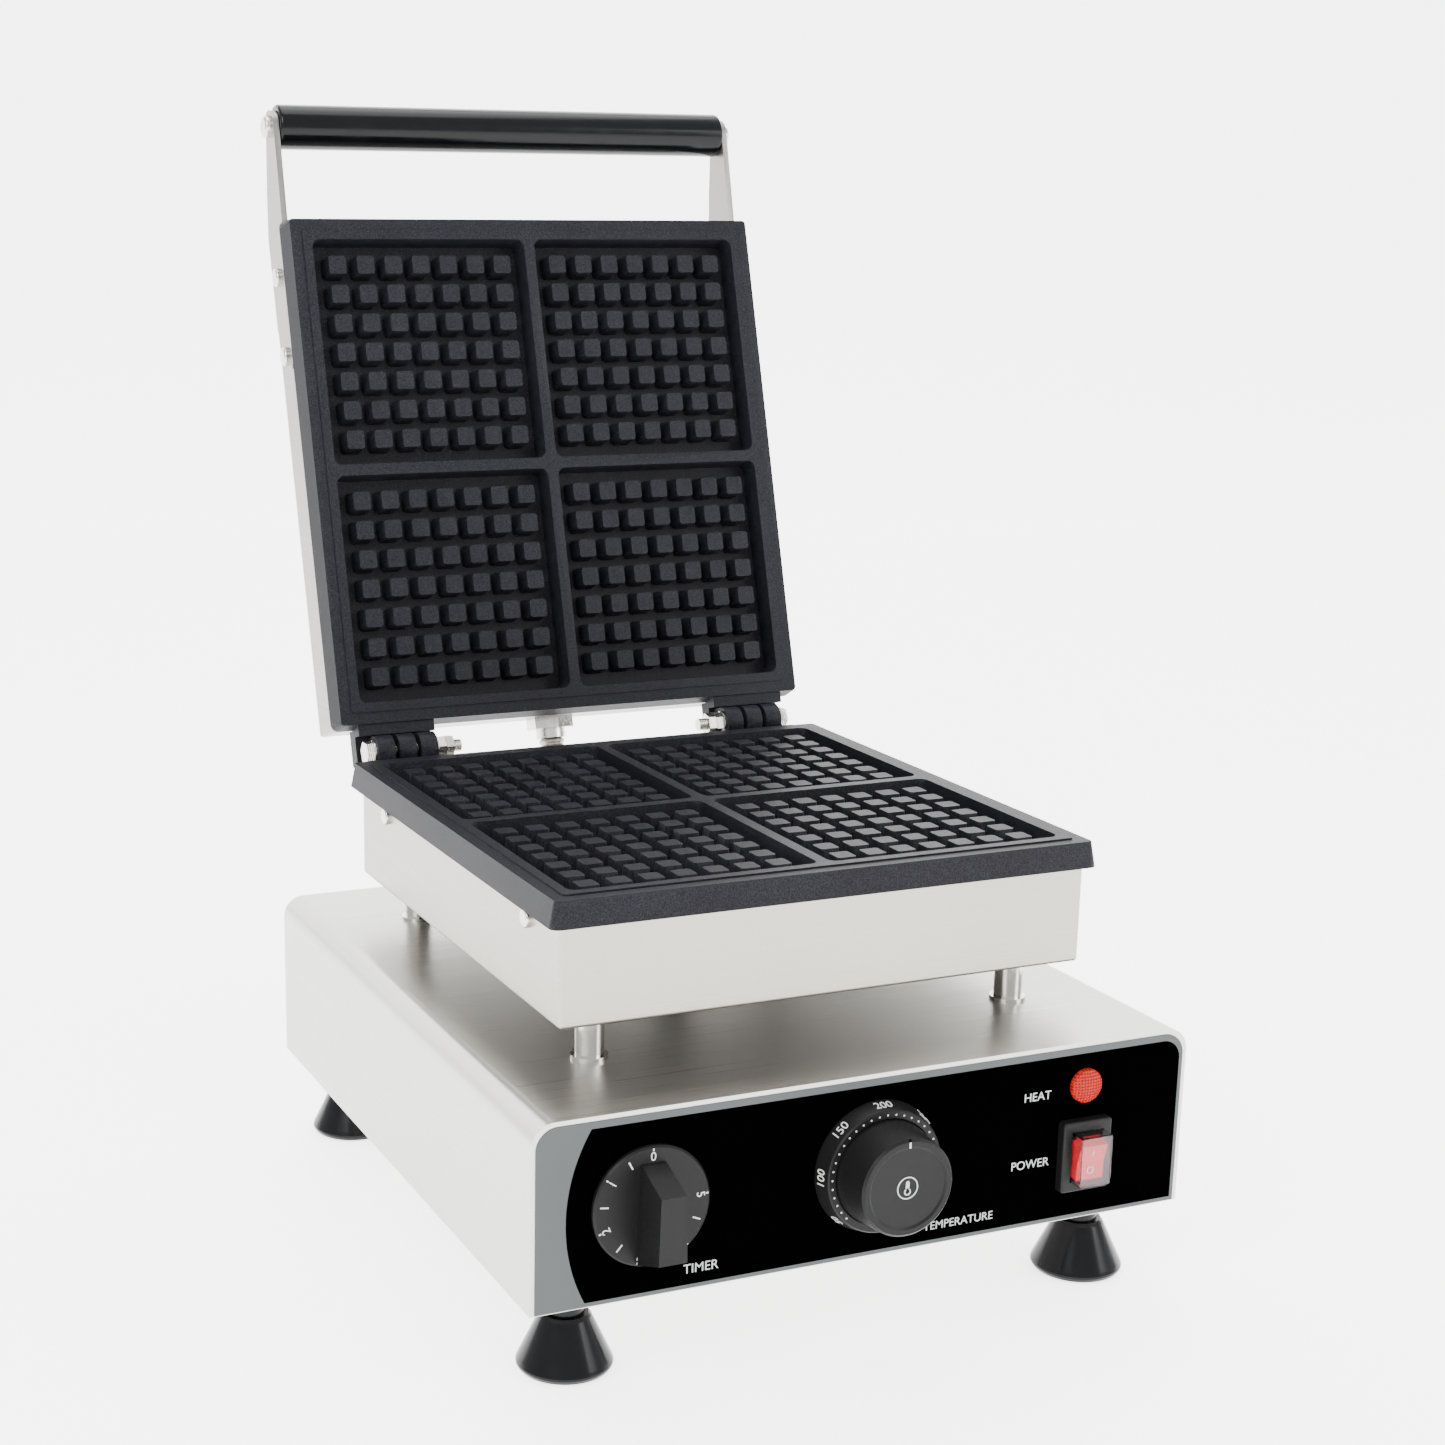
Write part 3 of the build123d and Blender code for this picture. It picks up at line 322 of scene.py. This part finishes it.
for cast in ("lower_plate", "upper_plate"):
    soften(cast, 0.0006)


# ---------------------------------------------------------------- helpers for the added pieces
def piece_from(name, verts, faces, look, body, smooth=False):
    """A mesh piece that rides on a body; with no body, it is left free to be blended."""
    mesh = bpy.data.meshes.new(name)
    mesh.from_pydata([tuple(v) for v in verts], [], faces)
    mesh.update()
    mesh.materials.append(looks[look])
    if smooth:
        mesh.polygons.foreach_set("use_smooth", [True] * len(mesh.polygons))
    obj = bpy.data.objects.new(name, mesh)
    bpy.context.scene.collection.objects.link(obj)
    if body:
        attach(obj, body)
    return obj


def prism(name, front, thick, look, body):
    """A flat piece with this front outline of points, and its back so far inward."""
    n = len(front)
    verts = front + [v + INWARD * thick for v in front]
    faces = [tuple(range(n)), tuple(range(2 * n - 1, n - 1, -1))]
    faces += [(i, i + n, (i + 1) % n + n, (i + 1) % n) for i in range(n)]
    return piece_from(name, verts, faces, look, body)


def plate_from(name, outline, y, thick, look, body):
    """A flat piece facing -Y with this outline of (x, z), its front at y."""
    return prism(name, [Vector((x, y, z)) for x, z in outline], thick, look, body)


def arc(cx, cz, radius, start, end, steps):
    """Points from start to end degrees, counted from +x towards +z."""
    angles = [math.radians(start + (end - start) * i / steps) for i in range(steps + 1)]
    return [(cx + radius * math.cos(a), cz + radius * math.sin(a)) for a in angles]


def lettering(name, text, height, at, right, up, look, body):
    """Flat generic lettering, centred at a point, with its cap height in metres."""
    cap_share, thick = 0.70, 0.00006
    curve = bpy.data.curves.new(name, "FONT")
    curve.body = text
    curve.align_x = "CENTER"
    curve.align_y = "CENTER"
    curve.size = height / cap_share
    curve.extrude = thick
    curve.materials.append(looks[look])
    obj = bpy.data.objects.new(name, curve)
    bpy.context.scene.collection.objects.link(obj)
    right, up = right.normalized(), up.normalized()
    turn = Matrix((right, up, right.cross(up))).transposed().to_4x4()
    obj.matrix_world = Matrix.Translation(at) @ turn
    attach(obj, body)


def dial_axes(clockwise):
    """Radial and tangent directions, clockwise degrees from the top as the user sees it."""
    a = math.radians(clockwise)
    return Vector((math.sin(a), 0, math.cos(a))), Vector((math.cos(a), 0, -math.sin(a)))


def on_dial(centre, radius, clockwise, out):
    """A point on a dial, so far out in front of the panel."""
    return Vector((centre.x, front_y - out, centre.z)) + dial_axes(clockwise)[0] * radius


# ---------------------------------------------------------------- control panel print
# In mm, from the middle of the casing's width and from its lower edge. The black field's left
# edge is an arc through three points.
FIELD_TOP, FIELD_BULGE, FIELD_FOOT = (-126.8, 74.6), (-137.3, 37.5), (-129.0, 2.2)
FIELD_RIGHT, FIELD_CORNER = 148.3, 8.5
LABELS = (
    ("TIMER", -78.6, 8.8, 4.0),
    ("TEMPERATURE", 41.0, 8.4, 3.6),
    ("HEAT", 77.0, 58.4, 3.8),
    ("POWER", 75.0, 28.4, 3.8),
)
FIELD_PROUD, FIELD_THICK, LABEL_PROUD = 0.00004, 0.00006, 0.00010


def circle_through(a, b, c):
    """Centre and radius of the circle through three points."""
    (x1, z1), (x2, z2), (x3, z3) = a, b, c
    det = 2 * (x1 * (z2 - z3) + x2 * (z3 - z1) + x3 * (z1 - z2))
    s1, s2, s3 = x1**2 + z1**2, x2**2 + z2**2, x3**2 + z3**2
    cx = (s1 * (z2 - z3) + s2 * (z3 - z1) + s3 * (z1 - z2)) / det
    cz = (s1 * (x3 - x2) + s2 * (x1 - x3) + s3 * (x2 - x1)) / det
    return cx, cz, math.hypot(x1 - cx, z1 - cz)


def bearing(point, cx, cz):
    return math.degrees(math.atan2(point[1] - cz, point[0] - cx)) % 360


def panel_field():
    cx, cz, radius = circle_through(FIELD_TOP, FIELD_BULGE, FIELD_FOOT)
    edge = arc(cx, cz, radius, bearing(FIELD_TOP, cx, cz), bearing(FIELD_FOOT, cx, cz), 24)
    corner = arc(FIELD_RIGHT - FIELD_CORNER, FIELD_TOP[1] - FIELD_CORNER, FIELD_CORNER, 0, 90, 10)
    outline = edge + [(FIELD_RIGHT, FIELD_FOOT[1])] + corner
    outline = [(x * MM, casing_lo.z + z * MM) for x, z in outline]
    plate_from("panel_field", outline, front_y - FIELD_PROUD, FIELD_THICK, "panel_black", "base")


panel_field()
for word, x, z, height in LABELS:
    at = Vector((x * MM, front_y - LABEL_PROUD, casing_lo.z + z * MM))
    lettering(f"label_{word.lower()}", word, height * MM, at, RIGHT, UP, "print_grey", "base")

# ---------------------------------------------------------------- timer dial marks
TIMER_STEP, TIMER_NUMBERS = 55.0, 6        # degrees anticlockwise between the numbers
TIMER_DISC = 0.0036                        # the disc's face in front of the panel
NUMBER_RADIUS, NUMBER_HEIGHT, NUMBER_PROUD = 0.0208, 0.0036, 0.00006
RIM_TICK, HALF_TICK = (0.0232, 0.0243), (0.0190, 0.0226)
TICK_WIDTH, TICK_PROUD, TICK_THICK = 0.0006, 0.00008, 0.0001


def timer_tick(name, clockwise, span):
    radial, tangent = dial_axes(clockwise)
    centre = Vector((timer.x, front_y - TIMER_DISC - TICK_PROUD, timer.z))
    inner, outer = span
    corners = [(inner, -1), (outer, -1), (outer, 1), (inner, 1)]
    front = [centre + radial * r + tangent * s * TICK_WIDTH / 2 for r, s in corners]
    prism(name, front, TICK_THICK, "print_white", "timer_dial")


for i in range(TIMER_NUMBERS):
    turned = -TIMER_STEP * i
    radial, tangent = dial_axes(turned)
    at = on_dial(timer, NUMBER_RADIUS, turned, TIMER_DISC + NUMBER_PROUD)
    name = f"timer_number_{i}"
    lettering(name, str(i), NUMBER_HEIGHT, at, tangent, radial, "print_white", "timer_dial")
    timer_tick(f"timer_tick_{i}", turned, RIM_TICK)
for i in range(TIMER_NUMBERS - 1):
    timer_tick(f"timer_half_{i}", -TIMER_STEP * (i + 0.5), HALF_TICK)

# ---------------------------------------------------------------- thermostat scale
SCALE_START, SCALE_STEP, DOT_STEP, DOTS = -135, 45, 9, 26          # degrees clockwise
CONE_FALL, CONE_RISE = 28.3 - 26.4, 7.4 - 0.8                      # the ring's sloping side, in mm
SCALE_RADIUS, SCALE_OUT, SCALE_HEIGHT, SCALE_PROUD = 0.02738, 0.0040, 0.0038, 0.00008
DOT_RING, DOT_OUT, DOT_RADIUS, DOT_THICK = 0.0245, 0.00808, 0.00042, 0.0001

slope = Vector((CONE_FALL, CONE_RISE)).normalized()
for i, value in enumerate(range(50, 301, 50)):
    turned = SCALE_START + SCALE_STEP * i
    radial, tangent = dial_axes(turned)
    up = radial * slope.x + INWARD * slope.y
    at = on_dial(dial, SCALE_RADIUS, turned, SCALE_OUT) + tangent.cross(up) * SCALE_PROUD
    name = f"scale_number_{value}"
    lettering(name, str(value), SCALE_HEIGHT, at, tangent, up, "print_white", "base")
for i in range(DOTS):
    at = on_dial(dial, DOT_RING, SCALE_START + DOT_STEP * i, DOT_OUT)
    ring = arc(at.x, at.z, DOT_RADIUS, 0, 330, 11)
    plate_from(f"scale_dot_{i}", ring, at.y, DOT_THICK, "print_white", "base")

# ---------------------------------------------------------------- thermometer mark on the temperature knob
KNOB_FACE, KNOB_RIM, MARK_THICK = 0.02535, 0.02604, 0.0003          # face and rim in front of the panel
RING_OUTER, RING_INNER = 0.0048, 0.0043
BULB_OUTER, BULB_INNER, BULB_DROP = 0.00155, 0.0010, 0.0016
STEM_HALF, STEM_FOOT, STEM_TOP = 0.0008, -0.0006, 0.0022
POINTER_HALF, POINTER_FROM, POINTER_TO, POINTER_THICK = 0.0004, 0.0172, 0.0196, 0.0002


def knob_ring(name, outer, inner, drop):
    """A flat ring on the knob's face."""
    steps = 40
    section = ((outer, 0), (inner, 0), (inner, MARK_THICK), (outer, MARK_THICK))
    verts, faces = [], []
    for i in range(steps):
        radial = dial_axes(360 * i / steps)[0]
        centre = Vector((dial.x, front_y - KNOB_FACE, dial.z - drop))
        verts += [centre + radial * r + INWARD * inward for r, inward in section]
    for i in range(steps):
        j = (i + 1) % steps
        faces += [(4 * i + k, 4 * i + (k + 1) % 4, 4 * j + (k + 1) % 4, 4 * j + k) for k in range(4)]
    piece_from(name, verts, faces, "print_grey", "temperature_dial")


def knob_plate(name, outline, out, thick, look):
    placed = [(dial.x + x, dial.z + z) for x, z in outline]
    plate_from(name, placed, front_y - out, thick, look, "temperature_dial")


knob_ring("knob_ring", RING_OUTER, RING_INNER, 0.0)
knob_ring("knob_bulb", BULB_OUTER, BULB_INNER, BULB_DROP)
stem = [(-STEM_HALF, STEM_FOOT), (STEM_HALF, STEM_FOOT)] + arc(0, STEM_TOP, STEM_HALF, 0, 180, 8)
knob_plate("knob_stem", stem, KNOB_FACE, MARK_THICK, "print_grey")
pointer = [(-POINTER_HALF, POINTER_FROM), (POINTER_HALF, POINTER_FROM)]
pointer += [(POINTER_HALF, POINTER_TO), (-POINTER_HALF, POINTER_TO)]
knob_plate("knob_pointer", pointer, KNOB_RIM, POINTER_THICK, "print_white")

# ---------------------------------------------------------------- conduit between the halves: a ribbed hose
HOSE_RADIUS, RIB_DEPTH, RIB_PITCH = 0.0066, 0.0009, 0.0032
hose_x = (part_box("conduit_hose")[0][0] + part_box("conduit_hose")[1][0]) / 2
hose_y = middle("conduit_grommet").y
hose_route = [
    Vector((hose_x, hose_y, casing_lo.z + 0.024)),
    Vector((hose_x, hose_y, casing_hi.z + 0.017)),
    Vector((hose_x, 0.13240, 0.17326)),
    Vector((hose_x, 0.13649, 0.18665)),
]


def hose_points(route):
    """Points along the route's own smooth NURBS line."""
    curve = bpy.data.curves.new("route", "CURVE")
    curve.dimensions = "3D"
    curve.resolution_u = 24
    spline = curve.splines.new("NURBS")
    spline.points.add(len(route) - 1)
    for point, at in zip(spline.points, route):
        point.co = (*at, 1)
    spline.order_u = 3
    spline.use_endpoint_u = True
    carrier = bpy.data.objects.new("route", curve)
    mesh = bpy.data.meshes.new_from_object(carrier)
    points = [v.co.copy() for v in mesh.vertices]
    bpy.data.objects.remove(carrier)
    return points


def ribbed_tube(name, line, look):
    """A hose along a line of points, with rounded ribs a pitch apart."""
    per_rib, sides = 6, 28
    reached = [0.0]
    for a, b in zip(line, line[1:]):
        reached.append(reached[-1] + (b - a).length)
    length = reached[-1]
    rings = int(length / RIB_PITCH) * per_rib
    verts, faces, seg = [], [], 0
    for k in range(rings + 1):
        s = length * k / rings
        while seg < len(line) - 2 and reached[seg + 1] < s:
            seg += 1
        centre = line[seg].lerp(line[seg + 1], (s - reached[seg]) / (reached[seg + 1] - reached[seg]))
        up = (line[seg + 1] - line[seg]).normalized().cross(RIGHT)
        r = HOSE_RADIUS - RIB_DEPTH * (0.5 + 0.5 * math.cos(2 * math.pi * k / per_rib)) ** 2
        for j in range(sides):
            a = 2 * math.pi * j / sides
            verts.append(centre + RIGHT * (r * math.cos(a)) + up * (r * math.sin(a)))
    for k in range(rings):
        for j in range(sides):
            n = (j + 1) % sides
            faces.append((k * sides + j, k * sides + n, (k + 1) * sides + n, (k + 1) * sides + j))
    faces += [tuple(range(sides))[::-1], tuple(rings * sides + j for j in range(sides))]
    return piece_from(name, verts, faces, look, None, smooth=True)


hose = ribbed_tube("conduit_ribbed", hose_points(hose_route), "conduit")
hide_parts("conduit_hose")
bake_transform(hose)

# ---------------------------------------------------------------- rocker marks
ROCKER_TILT, ROCKER_SLOPE = math.radians(10), math.atan(1.0 / 8.2)  # at rest, and of each half's face
ROCKER_MIDDLE, MARK_REACH, MARK_HEIGHT, MARK_PROUD = 0.0076, 0.0042, 0.0034, 0.00006
rocker_up = Vector((0, -math.sin(ROCKER_TILT), math.cos(ROCKER_TILT)))
rocker_out = Vector((0, -math.cos(ROCKER_TILT), -math.sin(ROCKER_TILT)))
mark_rise = ROCKER_MIDDLE + MARK_REACH * math.tan(ROCKER_SLOPE) + MARK_PROUD
for name, mark, side in (("rocker_on", "I", 1), ("rocker_off", "O", -1)):
    at = Vector((switch.x, front_y, switch.z)) + rocker_up * side * MARK_REACH + rocker_out * mark_rise
    up = rocker_up * math.cos(ROCKER_SLOPE) + rocker_out * side * math.sin(ROCKER_SLOPE)
    lettering(name, mark, MARK_HEIGHT, at, RIGHT, up, "print_white", "rocker")


# ---------------------------------------------------------------- floor, light and world
def backdrop(depth=2.4, reach=7.0, bend=1.6, height=5.0, steps=16):
    """A pale studio sweep: flat under the object, curving up behind it."""
    profile = [(-reach, 0.0)]
    for i in range(steps + 1):
        a = math.pi / 2 * i / steps
        profile.append((depth + bend * math.sin(a), bend * (1 - math.cos(a))))
    profile.append((depth + bend, height))
    heading = math.radians(-CAMERA_TURN[2])
    away = Vector((math.sin(heading), math.cos(heading), 0))
    across = Vector((away.y, -away.x, 0))
    verts = []
    for d, h in profile:
        verts += [away * d + across * w + Vector((0, 0, table_z + h)) for w in (-reach, reach)]
    faces = [(2 * i, 2 * i + 1, 2 * i + 3, 2 * i + 2) for i in range(len(profile) - 1)]
    mesh = bpy.data.meshes.new("floor")
    mesh.from_pydata([tuple(v) for v in verts], [], faces)
    mesh.polygons.foreach_set("use_smooth", [True] * len(mesh.polygons))
    mesh.update()
    return mesh


floor_mat = material("floor", (0.94, 0.94, 0.94), 0.7)
principled(floor_mat).inputs["Emission Color"].default_value = (1, 1, 1, 1)
principled(floor_mat).inputs["Emission Strength"].default_value = 3.0
floor_mesh = backdrop()
floor_mesh.materials.append(floor_mat)
floor = bpy.data.objects.new("floor", floor_mesh)
bpy.context.scene.collection.objects.link(floor)


def softbox(name, at, target, size, power):
    light = bpy.data.lights.new(name, "AREA")
    light.shape = "RECTANGLE"
    light.size = size
    light.size_y = size
    light.energy = power
    obj = bpy.data.objects.new(name, light)
    bpy.context.scene.collection.objects.link(obj)
    obj.location = at
    obj.rotation_euler = (Vector(target) - Vector(at)).to_track_quat("-Z", "Y").to_euler()


softbox("key", (-1.4, -1.0, 1.6), (0, 0, 0.2), 1.0, 48)
softbox("fill", (1.5, -1.5, 1.0), (0, 0, 0.2), 0.9, 24)
softbox("top", (0.1, 0.4, 2.1), (0, 0, 0.1), 1.5, 34)

world = bpy.data.worlds.new("studio")
bpy.context.scene.world = world
world.use_nodes = True
world.node_tree.nodes["Background"].inputs["Color"].default_value = (1, 1, 1, 1)
world.node_tree.nodes["Background"].inputs["Strength"].default_value = 1.7

camera_data = bpy.data.cameras.new("camera")
camera_data.lens = CAMERA_LENS
camera_data.sensor_width = 36.0
camera_data.shift_x, camera_data.shift_y = CAMERA_SHIFT
camera_data.clip_start, camera_data.clip_end = 0.01, 50
camera = bpy.data.objects.new("camera", camera_data)
bpy.context.scene.collection.objects.link(camera)
camera.location = CAMERA_AT
camera.rotation_euler = [math.radians(a) for a in CAMERA_TURN]
bpy.context.scene.camera = camera
